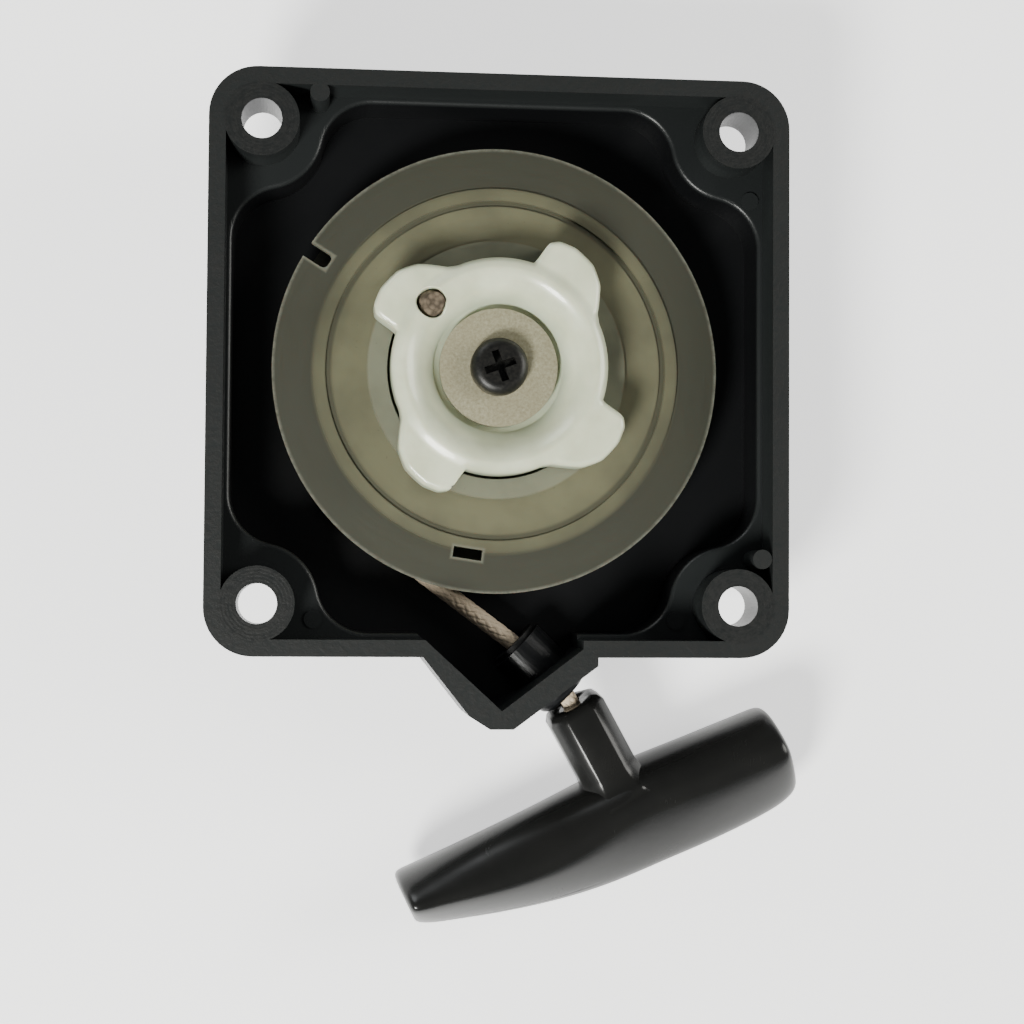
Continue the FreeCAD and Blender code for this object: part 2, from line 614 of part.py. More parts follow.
def handle_knot():
    floor = size("pocket_start") + size("knot_washer_thick")
    radius = size("knot")
    knot = Part.makeSphere(radius, Vector(0, 0, floor + radius - 0.4))
    flat = Part.makeCylinder(radius, 2 * radius, Vector(0, 0, floor))
    stub = Part.makeCylinder(size("rope"), radius + 3.2, Vector(0.4, 0, floor + radius),
                             Vector(0.15, 0.1, 1))
    return node(feature("knot_solid", knot.common(flat).fuse(stub).removeSplitter(),
                        handle_frame()), "handle_knot")


def knot_washer():
    floor = Vector(0, 0, size("pocket_start") + 0.1)
    thick = size("knot_washer_thick") - 0.1
    ring = Part.makeCylinder(size("knot_washer"), thick, floor).cut(
        Part.makeCylinder(size("tail_bore"), thick, floor))
    return node(feature("knot_ring", ring, handle_frame()), "knot_washer")


def bar_shape():
    """The bar: nearly straight towards the stem, bowed outside, thinner at its ends."""
    left, right = -size("bar_left"), size("bar_right")
    inner, tuck = size("stem_length"), size("bar_end_round")

    def spot(across, along):
        return Vector(across, -size("bar_height") / 2, along)
    low_left, low_right = spot(left, inner), spot(right, inner + size("bar_sweep"))
    high_left = spot(left, inner + size("bar_left_depth"))
    high_right = spot(right, inner + size("bar_right_depth"))
    edges = [Part.LineSegment(low_left, spot(0, inner)),
             Part.LineSegment(spot(0, inner), low_right),
             Part.LineSegment(low_right, high_right),
             Part.Arc(high_right, spot(0, inner + size("bar_depth")), high_left),
             Part.LineSegment(high_left, low_left)]
    face = Part.Face(Part.Wire([edge.toShape() for edge in edges]))
    bar = face.extrude(Vector(0, size("bar_height"), 0))
    ends = [edge for edge in bar.Edges if abs(edge.BoundBox.Center.x) > 1
            and abs(edge.BoundBox.YLength - size("bar_height")) < 1e-6]
    bar = bar.makeFillet(tuck, ends)
    rims = [edge for edge in bar.Edges if edge.BoundBox.YLength < 1e-6]
    bar = bar.makeFillet(size("bar_edge"), rims)
    bar.rotate(Vector(0, 0, inner), Vector(0, 1, 0), -size("bar_lean"))
    return bar


def handle_grip():
    """Glossy T-handle: an eight-sided stem on a bowed bar, with a pocket for the knot."""
    width, side = size("stem_width"), size("stem_width") / 2
    stem = Part.makeBox(width, width, size("stem_length") + 4, Vector(-side, -side, 0))
    stem = stem.makeChamfer(size("stem_chamfer"), [edge for edge in stem.Edges if upright(edge)])
    stem = stem.makeFillet(size("stem_round"),
                           [edge for edge in stem.Edges if at_level(0)(edge)])
    grip = bar_shape().fuse(stem).removeSplitter()
    bore = Part.makeCylinder(size("tail_bore"), size("pocket_start") + 2, Vector(0, 0, -1))
    pocket = Part.makeCylinder(size("knot_pocket"), size("bar_depth") + 6,
                               Vector(0, 0, size("pocket_start")))
    grip = grip.cut(bore.fuse(pocket))
    return node(feature("grip", grip, handle_frame()), "handle_grip")


for make in (housing, rope_guide, post_insert, recoil_spring, reel, drive_hub,
             retaining_washer, centre_screw, rope_winding, hub_knot, rope_run, rope_tail,
             handle_knot, knot_washer, handle_grip):
    make()
doc.recompute()

failed = [item.Name for item in doc.Objects
          if "Invalid" in item.State or "Error" in item.State]
if failed:
    raise RuntimeError("not rebuilt: " + ", ".join(failed))
for thing in nodes:
    if thing.Shape.isNull() or not thing.Shape.isValid() or not thing.Shape.Solids:
        raise RuntimeError("no valid solid: " + thing.Label)
os.makedirs("parts", exist_ok=True)
for thing in nodes:
    thing.Shape.exportStep("parts/%s.step" % thing.Label)
    box = thing.Shape.BoundBox
    print("%-18s %10.1f mm3  x %6.1f %6.1f  y %6.1f %6.1f  z %6.1f %6.1f  solids %d" % (
        thing.Label, thing.Shape.Volume, box.XMin, box.XMax, box.YMin, box.YMax,
        box.ZMin, box.ZMax, len(thing.Shape.Solids)))
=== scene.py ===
import math

import bmesh
import bpy
import numpy as np
from mathutils import Matrix, Quaternion, Vector


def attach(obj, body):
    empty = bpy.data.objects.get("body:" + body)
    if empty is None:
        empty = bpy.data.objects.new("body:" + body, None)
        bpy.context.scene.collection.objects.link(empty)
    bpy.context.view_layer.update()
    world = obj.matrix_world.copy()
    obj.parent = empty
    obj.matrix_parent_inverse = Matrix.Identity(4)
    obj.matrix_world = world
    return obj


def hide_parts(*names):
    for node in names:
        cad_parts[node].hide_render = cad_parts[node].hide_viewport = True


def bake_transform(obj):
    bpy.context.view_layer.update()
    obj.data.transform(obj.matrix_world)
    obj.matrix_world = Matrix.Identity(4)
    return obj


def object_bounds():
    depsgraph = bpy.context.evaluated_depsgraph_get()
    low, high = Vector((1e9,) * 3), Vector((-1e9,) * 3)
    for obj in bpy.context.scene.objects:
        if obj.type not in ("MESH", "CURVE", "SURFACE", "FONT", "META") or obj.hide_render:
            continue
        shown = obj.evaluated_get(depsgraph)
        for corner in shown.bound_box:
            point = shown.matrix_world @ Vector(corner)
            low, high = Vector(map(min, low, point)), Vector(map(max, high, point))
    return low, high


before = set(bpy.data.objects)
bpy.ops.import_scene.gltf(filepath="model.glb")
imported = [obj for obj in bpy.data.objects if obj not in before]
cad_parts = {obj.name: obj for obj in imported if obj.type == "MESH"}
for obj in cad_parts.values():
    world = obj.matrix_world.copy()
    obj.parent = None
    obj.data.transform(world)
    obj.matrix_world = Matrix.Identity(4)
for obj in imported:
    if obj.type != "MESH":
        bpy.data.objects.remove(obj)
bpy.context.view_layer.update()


# ---------------------------------------------------------------- housing
# One moulding of glass-filled black nylon, open towards the engine. The case is carried
# over from the frame; its finish is a fine moulded grain, duller and greyer on the rim,
# where the face has been rubbed by the fan cover it bolts to.

MM = 0.001
BOLT_HALF = 37.0 * MM
RING_SPACING = 0.55 * MM
# The first, darker colour is painted shade: everything below the shelf takes it, for the shade
# deep inside the case.
DEEP_SHADED, SHELF = (0.0052, 0.0056, 0.0062), (0.017, 0.0195, 0.0195)
SCUFFED, RUBBED = (0.0058, 0.0068, 0.0070), (0.0115, 0.0120, 0.0113)


class Flow:
    """A value in a node tree. Arithmetic on it adds the Math nodes it needs."""

    def __init__(self, tree, socket):
        self.tree, self.socket = tree, socket

    def math(self, operation, *values, clamp=False):
        node = self.tree.nodes.new("ShaderNodeMath")
        node.operation, node.use_clamp = operation, clamp
        for place, value in enumerate(values):
            plug(self.tree, node.inputs[place], value)
        return Flow(self.tree, node.outputs[0])

    def __add__(self, other):
        return self.math("ADD", self, other)

    def __radd__(self, other):
        return self.math("ADD", other, self)

    def __sub__(self, other):
        return self.math("SUBTRACT", self, other)

    def __rsub__(self, other):
        return self.math("SUBTRACT", other, self)

    def __mul__(self, other):
        return self.math("MULTIPLY", self, other)

    def __rmul__(self, other):
        return self.math("MULTIPLY", other, self)

    def __truediv__(self, other):
        return self.math("DIVIDE", self, other)

    def between(self, low, high):
        """0 below low, 1 above high, a straight ramp from one to the other."""
        return self.math("MULTIPLY", self - low, 1 / (high - low), clamp=True)


def plug(tree, socket, value):
    if isinstance(value, Flow):
        tree.links.new(value.socket, socket)
    elif isinstance(value, (tuple, list)) and socket.type == "RGBA" and len(value) == 3:
        socket.default_value = (*value, 1)
    else:
        socket.default_value = value


class Finish:
    """A material: one surface shader and the nodes that feed it."""

    def __init__(self, name, **constants):
        self.material = bpy.data.materials.new(name)
        self.material.use_nodes = True
        self.tree = self.material.node_tree
        self.shader = self.tree.nodes["Principled BSDF"]
        self.set(**constants)

    def set(self, **values):
        for name, value in values.items():
            plug(self.tree, self.shader.inputs[name.replace("_", " ")], value)
        return self

    def node(self, kind, settings=None, sockets=None, out=0):
        node = self.tree.nodes.new("ShaderNode" + kind)
        for name, value in (settings or {}).items():
            if name == "stops":
                ramp = node.color_ramp
                for place, (position, colour) in enumerate(value):
                    stop = ramp.elements[place] if place < 2 else ramp.elements.new(position)
                    stop.position, stop.color = position, (*colour, 1)
            else:
                setattr(node, name, value)
        for name, value in (sockets or {}).items():
            plug(self.tree, node.inputs[name], value)
        return Flow(self.tree, node.outputs[out])

    def place(self):
        """Object coordinates, in metres."""
        return self.node("TexCoord", out="Object")

    def axes(self, vector):
        split = self.tree.nodes.new("ShaderNodeSeparateXYZ")
        plug(self.tree, split.inputs[0], vector)
        return [Flow(self.tree, output) for output in split.outputs]

    def noise(self, vector, size, detail=2.0, rough=0.5):
        return self.node("TexNoise", {}, {"Vector": vector, "Scale": 1 / size,
                                          "Detail": detail, "Roughness": rough})

    def mix(self, factor, first, second):
        """Colour between first and second."""
        mixer = self.tree.nodes.new("ShaderNodeMix")
        mixer.data_type = "RGBA"
        for place, value in ((0, factor), (6, first), (7, second)):
            plug(self.tree, mixer.inputs[place], value)
        return Flow(self.tree, mixer.outputs[2])

    def bump(self, height, distance, strength=1.0):
        """Surface relief of that many metres, fed to the shader's normal."""
        relief = self.node("Bump", {}, {"Height": height, "Distance": distance,
                                        "Strength": strength})
        return self.set(Normal=relief)


def dress(node_name, finish):
    """Give a carried-over part its finish."""
    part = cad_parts[node_name]
    part.data.materials.clear()
    part.data.materials.append(finish.material)
    for face in part.data.polygons:
        face.use_smooth = False
    return part


def black_nylon():
    finish = Finish("black_nylon", IOR=1.5)
    place = finish.place()
    x, y, height = finish.axes(place)
    grain = finish.noise(place, 0.3 * MM, 3, 0.6)
    cloud = finish.noise(place, 9 * MM, 4, 0.6)
    streaks = finish.noise(finish.node("Mapping", {}, {
        "Vector": place, "Scale": (1, 1, 0.25)}), 0.9 * MM, 4, 0.65)
    corner_x, corner_y = x.math("ABSOLUTE", x) - BOLT_HALF, y.math("ABSOLUTE", y) - BOLT_HALF
    from_bolt = x.math("SQRT", corner_x * corner_x + corner_y * corner_y)
    rings = from_bolt.math("SINE", from_bolt * (6.3 / RING_SPACING) + 4 * streaks)
    boss = (1 - from_bolt.between(5.6 * MM, 6.0 * MM)) * height.between(-3.4 * MM, -2.6 * MM)
    rim = height.between(-0.5 * MM, -0.1 * MM)
    shelf = height.between(-8.4 * MM, -7.2 * MM)
    outside = 1 - height.between(-27 * MM, -26 * MM)
    patches = finish.noise(place, 4 * MM, 5, 0.75).between(0.38, 0.62)
    scuff = rim * (0.15 + 0.55 * streaks.between(0.38, 0.60) + 0.30 * patches)
    # Below the shelf the colour drops to the painted shade of the deep case.
    colour = finish.mix(shelf, DEEP_SHADED, SHELF)
    worn = 0.35 + 0.40 * patches + 0.12 * rings
    colour = finish.mix(boss * worn, colour, SCUFFED)
    colour = finish.mix(scuff, colour, RUBBED)
    colour = finish.mix(outside * cloud, colour, SHELF)
    finish.set(Base_Color=colour, Roughness=0.30 + 0.1 * cloud + 0.22 * scuff,
               Specular_IOR_Level=0.32)
    relief = grain * 0.5 + streaks * scuff * 1.4 + rings * boss * 0.15
    return finish.bump(relief, 0.05 * MM, 0.6)


dress("housing", black_nylon())


# ---------------------------------------------------------------- rope guide
# A flanged bush of hard black plastic pressed into the nose, its mouths rounded and
# polished by the rope that runs over them.

def guide_black():
    finish = Finish("guide_black", Specular_IOR_Level=0.2)
    place = finish.place()
    rub = finish.noise(place, 0.8 * MM, 3, 0.6)
    colour = finish.mix(rub, (0.004, 0.004, 0.0045), (0.009, 0.009, 0.009))
    finish.set(Base_Color=colour, Roughness=0.4 + 0.2 * rub)
    return finish.bump(rub, 0.02 * MM)


dress("rope_guide", guide_black())


# ---------------------------------------------------------------- insert and spring
# The threaded insert is turned brass, moulded into the post. The recoil spring is a strip
# of rolled steel, blued and lightly oiled; both sit out of sight under the reel.

def brass():
    finish = Finish("brass", Metallic=1.0)
    place = finish.place()
    rings = finish.noise(finish.node("Mapping", {}, {
        "Vector": place, "Scale": (0.1, 0.1, 1)}), 0.15 * MM, 2)
    colour = finish.mix(rings, (0.45, 0.30, 0.10), (0.72, 0.52, 0.22))
    finish.set(Base_Color=colour, Roughness=0.25 + 0.2 * rings)
    return finish.bump(rings, 0.02 * MM)


def spring_steel():
    finish = Finish("spring_steel", Metallic=1.0)
    place = finish.place()
    rolled = finish.noise(finish.node("Mapping", {}, {
        "Vector": place, "Scale": (0.15, 0.15, 1)}), 0.3 * MM, 3)
    blue = finish.noise(place, 6 * MM, 2)
    colour = finish.mix(blue, (0.16, 0.17, 0.21), (0.33, 0.33, 0.34))
    finish.set(Base_Color=colour, Roughness=0.22 + 0.25 * rolled)
    return finish.bump(rolled, 0.01 * MM)


dress("post_insert", brass())
dress("recoil_spring", spring_steel())


# ---------------------------------------------------------------- reel
# Natural nylon, moulded thin, so the black case shows through as a dark olive tint. The
# faces are satin with faint flow marks round the gate and rub rings from turning.

LINE_AT = 26.5 * MM
CUTS = [(148.0, 33.4, 1.25, 2.2), (261.5, 29.3, 2.3, 0.85)]


def natural_nylon():
    finish = Finish("natural_nylon", Specular_IOR_Level=0.4, Subsurface_Weight=0.10,
                    Subsurface_Scale=1.5 * MM, IOR=1.53)
    place = finish.place()
    x, y = finish.axes(place)[:2]
    radius = (x * x + y * y).math("SQRT", x * x + y * y)
    cloud = finish.noise(place, 11 * MM, 3, 0.55)
    speck = finish.noise(place, 0.5 * MM, 4, 0.7)
    flow = finish.node("TexNoise", {}, {"Vector": finish.node("CombineXYZ", {}, {
        "X": radius * 14, "Y": x, "Z": y}), "Scale": 120.0, "Detail": 3.0})
    rim = radius.between(28.4 * MM, 29.4 * MM)
    core = 1 - radius.between(20.2 * MM, 20.6 * MM)
    shade = radius.between(24.5 * MM, 28.6 * MM) * (1 - rim)
    colour = finish.mix(rim, (0.140, 0.137, 0.080), (0.042, 0.043, 0.030))
    colour = finish.mix(shade * 0.40, colour, (0.060, 0.060, 0.038))
    colour = finish.mix(core, colour, (0.175, 0.180, 0.125))
    colour = finish.mix(cloud.between(0.40, 0.70) * 0.45, colour, (0.045, 0.045, 0.030))
    # Painted highlight: a light line round the flange's outer edge, broken up by noise.
    edge = radius.between(34.75 * MM, 35.2 * MM)
    highlight_breaks = finish.noise(place, 1.6 * MM, 4, 0.8).between(0.35, 0.6)
    colour = finish.mix(edge * (0.25 + 0.5 * highlight_breaks), colour, (0.19, 0.19, 0.15))
    # Painted shade: a dark ring where a shallow groove runs round the reel's face.
    away = (radius - LINE_AT).math("ABSOLUTE", radius - LINE_AT)
    groove_shade = 1 - away.between(0.2 * MM, 0.7 * MM)
    colour = finish.mix(groove_shade * 0.6, colour, (0.030, 0.030, 0.020))
    colour = finish.mix(speck.between(0.66, 0.74) * 0.5, colour, (0.030, 0.028, 0.020))
    # Painted highlight: each notch cut in the reel, and a thin band round it, is painted
    # lighter.
    for angle, middle, half_long, half_wide in CUTS:
        cosine, sine = math.cos(math.radians(angle)), math.sin(math.radians(angle))
        out, across = x * cosine + y * sine - middle * MM, y * cosine - x * sine
        past_out = out.math("ABSOLUTE", out) - half_wide * MM
        past = past_out.math("MAXIMUM", past_out, across.math("ABSOLUTE", across)
                             - half_long * MM)
        colour = finish.mix((1 - past.between(0.15 * MM, 0.5 * MM)) * 0.7, colour,
                            (0.16, 0.16, 0.12))
    finish.set(Base_Color=colour, Roughness=0.40 + 0.16 * flow)
    return finish.bump(speck * 0.4 + flow * 0.5, 0.03 * MM, 0.7)


dress("reel", natural_nylon())


# ---------------------------------------------------------------- drive hub
# Whiter nylon, moulded thick and left glossy: a bowl that takes the washer, a rolled
# crest and four dogs, each with one steep face. LOBE is a dog's outline: degrees behind
# its steep face and millimetres of growth past the hub's side.

DOG_START, STEEP_LEAN = 70.8, 1.2
HUB_SIDE, HUB_INNER, HUB_BORE = 16.9, 10.0, 5.6
CREST, DOG_TOP, BOWL_FLOOR, SKIRT = -1.0, -1.7, -6.2, -7.6
EDGE = 1.0
LOBE = [(0, 1.0), (-2.2, 3.9), (-6, 4.75), (-13, 5.1), (-23, 4.7), (-31, 3.4), (-37, 1.7),
        (-42, 0.45), (-47, 0.0)]
KNOT_HOLE, KNOT_AT, KNOT_ANGLE = 2.15, 14.4, 138.5
# PIT places a small near-black oval on one dog's steep face: painted shade of a pit.
PIT, PIT_LONG, PIT_WIDE = (-6.6 * MM, -18.9 * MM), 0.9 * MM, 0.35 * MM


def white_nylon():
    finish = Finish("white_nylon", Specular_IOR_Level=0.6, Subsurface_Weight=0.06,
                    Subsurface_Scale=0.8 * MM, IOR=1.53, Coat_Weight=0.25)
    place = finish.place()
    x, y, height = finish.axes(place)
    cloud = finish.noise(place, 7 * MM, 3, 0.5)
    speck = finish.noise(place, 0.8 * MM, 5, 0.75)
    lumps = finish.noise(place, 2.4 * MM, 2, 0.5)
    dirt = speck.between(0.68, 0.74)
    colour = finish.mix(cloud.between(0.3, 0.7), (0.58, 0.62, 0.43), (0.76, 0.80, 0.59))
    colour = finish.mix(dirt * 0.6, colour, (0.35, 0.33, 0.22))
    # Painted shade: the hub turns darker and greener lower down, in the bowl and at the foot of
    # the dogs.
    painted_low_shade = 1 - height.between(-5.6 * MM, -3.4 * MM)
    colour = finish.mix(painted_low_shade * 0.45, colour, (0.30, 0.36, 0.28))
    # Painted shade of a small pit, near-black on the white nylon.
    pit_x, pit_y = (x - PIT[0]) / PIT_LONG, (y - PIT[1]) / PIT_WIDE
    pit_shade = (1 - (pit_x * pit_x + pit_y * pit_y).between(0.7, 1.3)) * height.between(
        -3.2 * MM, -2.7 * MM)
    colour = finish.mix(pit_shade, colour, (0.06, 0.06, 0.045))
    finish.set(Base_Color=colour, Roughness=0.24 + 0.16 * cloud)
    return finish.bump(cloud * 0.6 + lumps * 0.5 + speck * 0.08, 0.10 * MM, 0.6)


def hub_outline(degrees):
    """Radius of the hub's outside at these angles: a circle with four dogs on it."""
    behind = -((DOG_START - degrees) % 90.0)
    ahead = (degrees - DOG_START) % 90.0
    table = sorted(LOBE)
    grown = np.interp(behind, [row[0] for row in table], [row[1] for row in table])
    steep = np.clip(1 - ahead / STEEP_LEAN, 0, 1) * LOBE[0][1]
    return HUB_SIDE + np.where(ahead < STEEP_LEAN, np.maximum(steep, 0), grown)


def hub_height(across, up, outline):
    """Height of the hub's upper face at these points, rolled off near the outline."""
    radius = np.hypot(across, up)
    rise = np.clip((radius - HUB_INNER) / 5.2, 0, 1)
    height = CREST + (BOWL_FLOOR - CREST) * (1 - rise) ** 1.75
    outer = np.clip((radius - 15.0) / 2.2, 0, 1)
    height += (DOG_TOP - CREST) * outer * outer * (3 - 2 * outer)
    distance = np.empty_like(radius)
    for row in range(radius.shape[0]):
        gap_x = across[row][:, None] - outline[:, 0][None, :]
        gap_y = up[row][:, None] - outline[:, 1][None, :]
        distance[row] = np.sqrt((gap_x * gap_x + gap_y * gap_y).min(axis=1))
    short = np.clip(EDGE - distance, 0, EDGE)
    height -= EDGE - np.sqrt(EDGE * EDGE - short * short)
    hole_x = KNOT_AT * math.cos(math.radians(KNOT_ANGLE))
    hole_y = KNOT_AT * math.sin(math.radians(KNOT_ANGLE))
    from_hole = np.hypot(across - hole_x, up - hole_y)
    inside = np.clip((KNOT_HOLE - from_hole) / 0.25, -1, 1)
    sunk = 0.5 + 0.5 * inside
    return np.where(sunk > 0, height + (SKIRT + 0.3 - height) * sunk ** 2, height)


def hub_mesh():
    """The hub as rings of points from its bore, over the bowl and dogs, and down its side."""
    around, over = ((840, 58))
    degrees = np.arange(around) * 360.0 / around
    reach = hub_outline(degrees)
    for _ in range(around // 280 + 1):
        reach = 0.25 * np.roll(reach, 1) + 0.5 * reach + 0.25 * np.roll(reach, -1)
    way = np.stack([np.cos(np.radians(degrees)), np.sin(np.radians(degrees))], axis=1)
    outline = way * reach[:, None]
    steps = np.linspace(0, 1, over) ** 0.9
    radii = HUB_INNER + (reach[None, :] - HUB_INNER) * steps[:, None]
    across, up = radii * way[None, :, 0], radii * way[None, :, 1]
    heights = hub_height(across, up, outline)
    rings = [np.column_stack([way * HUB_BORE, np.full(around, SKIRT)]),
             np.column_stack([way * HUB_BORE, np.full(around, BOWL_FLOOR)])]
    rings += [np.column_stack([across[row], up[row], heights[row]]) for row in range(over)]
    edge = heights[-1].copy()
    for part in (0.1, 0.3, 0.6, 0.85, 1.0):
        rings.append(np.column_stack([outline, edge + (SKIRT - edge) * part]))
    points = np.concatenate(rings) * MM
    faces = []
    count = len(rings)
    for row in range(count):
        following = (row + 1) % count
        for column in range(around):
            beside = (column + 1) % around
            faces.append((row * around + column, following * around + column,
                          following * around + beside, row * around + beside))
    mesh = bpy.data.meshes.new("hub_bowl")
    mesh.from_pydata(points.tolist(), [], faces)
    mesh.update()
    working = bmesh.new()
    working.from_mesh(mesh)
    bmesh.ops.recalc_face_normals(working, faces=working.faces)
    working.to_mesh(mesh)
    working.free()
    mesh.shade_smooth()
    return mesh


hub_finish = white_nylon()
hub = bpy.data.objects.new("hub_bowl", hub_mesh())
bpy.context.collection.objects.link(hub)
hub.data.materials.append(hub_finish.material)
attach(hub, "rotor")
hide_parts("drive_hub")


# ---------------------------------------------------------------- washer and screw
# A big zinc-plated washer, barrel-tumbled to a warm speckled grey, and a black-oxide
# pan-head screw whose cross recess keeps a little oil.

def zinc_steel():
    finish = Finish("zinc_steel", Metallic=0.55)
    place = finish.place()
    speckle = finish.noise(place, 0.45 * MM, 5, 0.7)
    cloud = finish.noise(place, 4 * MM, 3)
    colour = finish.mix(speckle.between(0.3, 0.7), (0.30, 0.275, 0.17), (0.50, 0.47, 0.33))
    colour = finish.mix(cloud.between(0.4, 0.7) * 0.3, colour, (0.36, 0.32, 0.20))
    finish.set(Base_Color=colour, Roughness=0.42 + 0.2 * speckle)
    return finish.bump(speckle, 0.03 * MM)


def black_steel():
    finish = Finish("black_steel", Metallic=0.3)
    place = finish.place()
    worn = finish.noise(place, 0.5 * MM, 4, 0.6)
    colour = finish.mix(worn.between(0.4, 0.75), (0.006, 0.006, 0.0055), (0.018, 0.017, 0.014))
    finish.set(Base_Color=colour, Roughness=0.32 + 0.2 * worn)
    return finish.bump(worn, 0.02 * MM)


dress("retaining_washer", zinc_steel())
dress("knot_washer", zinc_steel())
dress("centre_screw", black_steel())


# ---------------------------------------------------------------- rope
# A 2.8 mm braided nylon cord, its strands laid over and under each other. One length runs
# from the reel's outer turn, through the guide and into the handle, where it is knotted.

def braid():
    finish = Finish("braid", Roughness=0.85, Specular_IOR_Level=0.2, Sheen_Weight=0.2)
    place = finish.place()
    fibres = finish.noise(place, 0.12 * MM, 3, 0.7)
    cloud = finish.noise(place, 3 * MM, 2)
    strand = finish.node("Attribute", {"attribute_name": "strand"}, out=2)
    colour = finish.mix(cloud, (0.52, 0.42, 0.30), (0.68, 0.56, 0.41))
    # Painted shade: the rope turns dark in the hollows between the raised strands.
    colour = finish.mix(strand.between(0.0, 0.55), (0.10, 0.075, 0.048), colour)
    colour = finish.mix(fibres.between(0.5, 0.8) * 0.4, colour, (0.75, 0.66, 0.52))
    finish.set(Base_Color=colour)
    return finish.bump(fibres, 0.05 * MM)


# Painted shade: a darker copy of the same cord for the turns on the reel and the two knots,
# which lie in shade; the hollows between its picks are darker still.
def shaded_braid():
    finish = Finish("braid_painted_shade", Roughness=0.85, Specular_IOR_Level=0.2)
    place = finish.place()
    picks = finish.node("TexVoronoi", {}, {"Vector": place, "Scale": 1 / (0.8 * MM)})
    fibres = finish.noise(place, 0.15 * MM, 3, 0.7)
    colour = finish.mix(picks.between(0.2, 0.7), (0.20, 0.155, 0.110), (0.060, 0.045, 0.030))
    colour = finish.mix(fibres * 0.3, colour, (0.26, 0.22, 0.16))
    finish.set(Base_Color=colour)
    return finish.bump(fibres - picks, 0.15 * MM)


ROPE, PICK, STRANDS = 1.4, 2.1, 8
LEVEL, RUN_RADIUS, RUN_ARC, RUN_BEND = -13.1, 32.6, 42.0, 8.0
GUIDE, EXIT_ANGLE, GUIDE_REACH = Vector((3.7, -43.4, LEVEL)), -44.0, 11.4
PULL_ANGLE, DROOP = -60.0, 13.0
exit_way = Vector((math.cos(math.radians(EXIT_ANGLE)), math.sin(math.radians(EXIT_ANGLE)), 0))
outlet = GUIDE + exit_way * GUIDE_REACH
pull_way = Vector((math.cos(math.radians(PULL_ANGLE)) * math.cos(math.radians(DROOP)),
                   math.sin(math.radians(PULL_ANGLE)) * math.cos(math.radians(DROOP)),
                   -math.sin(math.radians(DROOP))))


def rope_line():
    """The rope's middle line: round the reel, straight to the guide, out and down the stem."""
    toward = math.degrees(math.atan2(GUIDE.y, GUIDE.x))
    leaving = toward - math.degrees(math.acos(RUN_RADIUS / math.hypot(GUIDE.x, GUIDE.y)))
    line = []
    for step in range(41):
        angle = math.radians(leaving - RUN_ARC * (1 - step / 40))
        line.append(Vector((RUN_RADIUS * math.cos(angle), RUN_RADIUS * math.sin(angle), LEVEL)))
    way = (GUIDE - line[-1]).normalized()
    back = RUN_BEND * math.tan(way.angle(exit_way) / 2)
    bend_in, bend_out = GUIDE - way * back, GUIDE + exit_way * back
    for step in range(1, 13):
        part = step / 12
        line.append(bend_in * (1 - part) ** 2 + GUIDE * (2 * part * (1 - part))
                    + bend_out * part ** 2)
    last, inside = outlet - exit_way * 0.6, outlet + pull_way * 1.8
    line.append(last)
    for step in range(1, 7):
        part = step / 6
        line.append(last * (1 - part) ** 2 + outlet * (2 * part * (1 - part))
                    + inside * part ** 2)
    line.append(outlet + pull_way * 18.4)
    return line


def rope_mesh(name, line, radius):
    """A braided tube along a line, its strands raised; the strand value is their rise, which the
    rope's colour uses for painted shade in the hollows.
    """
    spaced, gap = [line[0]], 0.14
    for first, second in zip(line, line[1:]):
        count = max(1, int((second - first).length / gap))
        spaced += [first.lerp(second, (step + 1) / count) for step in range(count)]
    around = 56
    middle = np.array(spaced)
    along = np.gradient(middle, axis=0)
    along /= np.linalg.norm(along, axis=1)[:, None]
    travelled = np.concatenate([[0], np.cumsum(np.linalg.norm(np.diff(middle, axis=0), axis=1))])
    side = np.cross(along, (0, 0, 1.0))
    side /= np.linalg.norm(side, axis=1)[:, None]
    top = np.cross(side, along)
    turn = np.arange(around) / around
    right = turn[None, :] * STRANDS + travelled[:, None] / PICK
    left = turn[None, :] * STRANDS - travelled[:, None] / PICK
    over = (np.floor(right) + np.floor(left)) % 2 < 1
    raised = np.where(over, np.abs(np.sin(np.pi * left)), np.abs(np.sin(np.pi * right))) ** 0.6
    reach = radius - 0.28 + 0.26 * raised
    angle = turn * 2 * np.pi
    points = (middle[:, None, :] + side[:, None, :] * (np.cos(angle) * reach)[:, :, None]
              + top[:, None, :] * (np.sin(angle) * reach)[:, :, None]).reshape(-1, 3)
    rows = len(middle)
    faces = [(row * around + column, row * around + (column + 1) % around,
              (row + 1) * around + (column + 1) % around, (row + 1) * around + column)
             for row in range(rows - 1) for column in range(around)]
    faces += [tuple(range(around))[::-1],
              tuple(range((rows - 1) * around, rows * around))]
    mesh = bpy.data.meshes.new(name)
    mesh.from_pydata((points * MM).tolist(), [], faces)
    mesh.update()
    strand = mesh.attributes.new("strand", "FLOAT", "POINT")
    strand.data.foreach_set("value", raised.ravel().astype(np.float32))
    working = bmesh.new()
    working.from_mesh(mesh)
    bmesh.ops.recalc_face_normals(working, faces=working.faces)
    working.to_mesh(mesh)
    working.free()
    mesh.shade_smooth()
    return mesh


rope_finish, shaded_braid_finish = braid(), shaded_braid()
rope = bpy.data.objects.new("pull_rope", rope_mesh("pull_rope", rope_line(), ROPE))
bpy.context.collection.objects.link(rope)
rope.data.materials.append(rope_finish.material)
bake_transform(rope)
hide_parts("rope_run", "rope_tail")
# The wound turns and both knots take the shaded copy of the rope.
for rope_part in ("rope_winding", "hub_knot", "handle_knot"):
    dress(rope_part, shaded_braid_finish)


# ---------------------------------------------------------------- handle
# Hard black plastic with a polished skin, moulded in two halves round a core. The bar has a
# soft ridge above and below, and its eight-sided stem flares where it meets the bar.
# STATIONS holds its sections: place across, depth, and where the ridge falls in the depth.

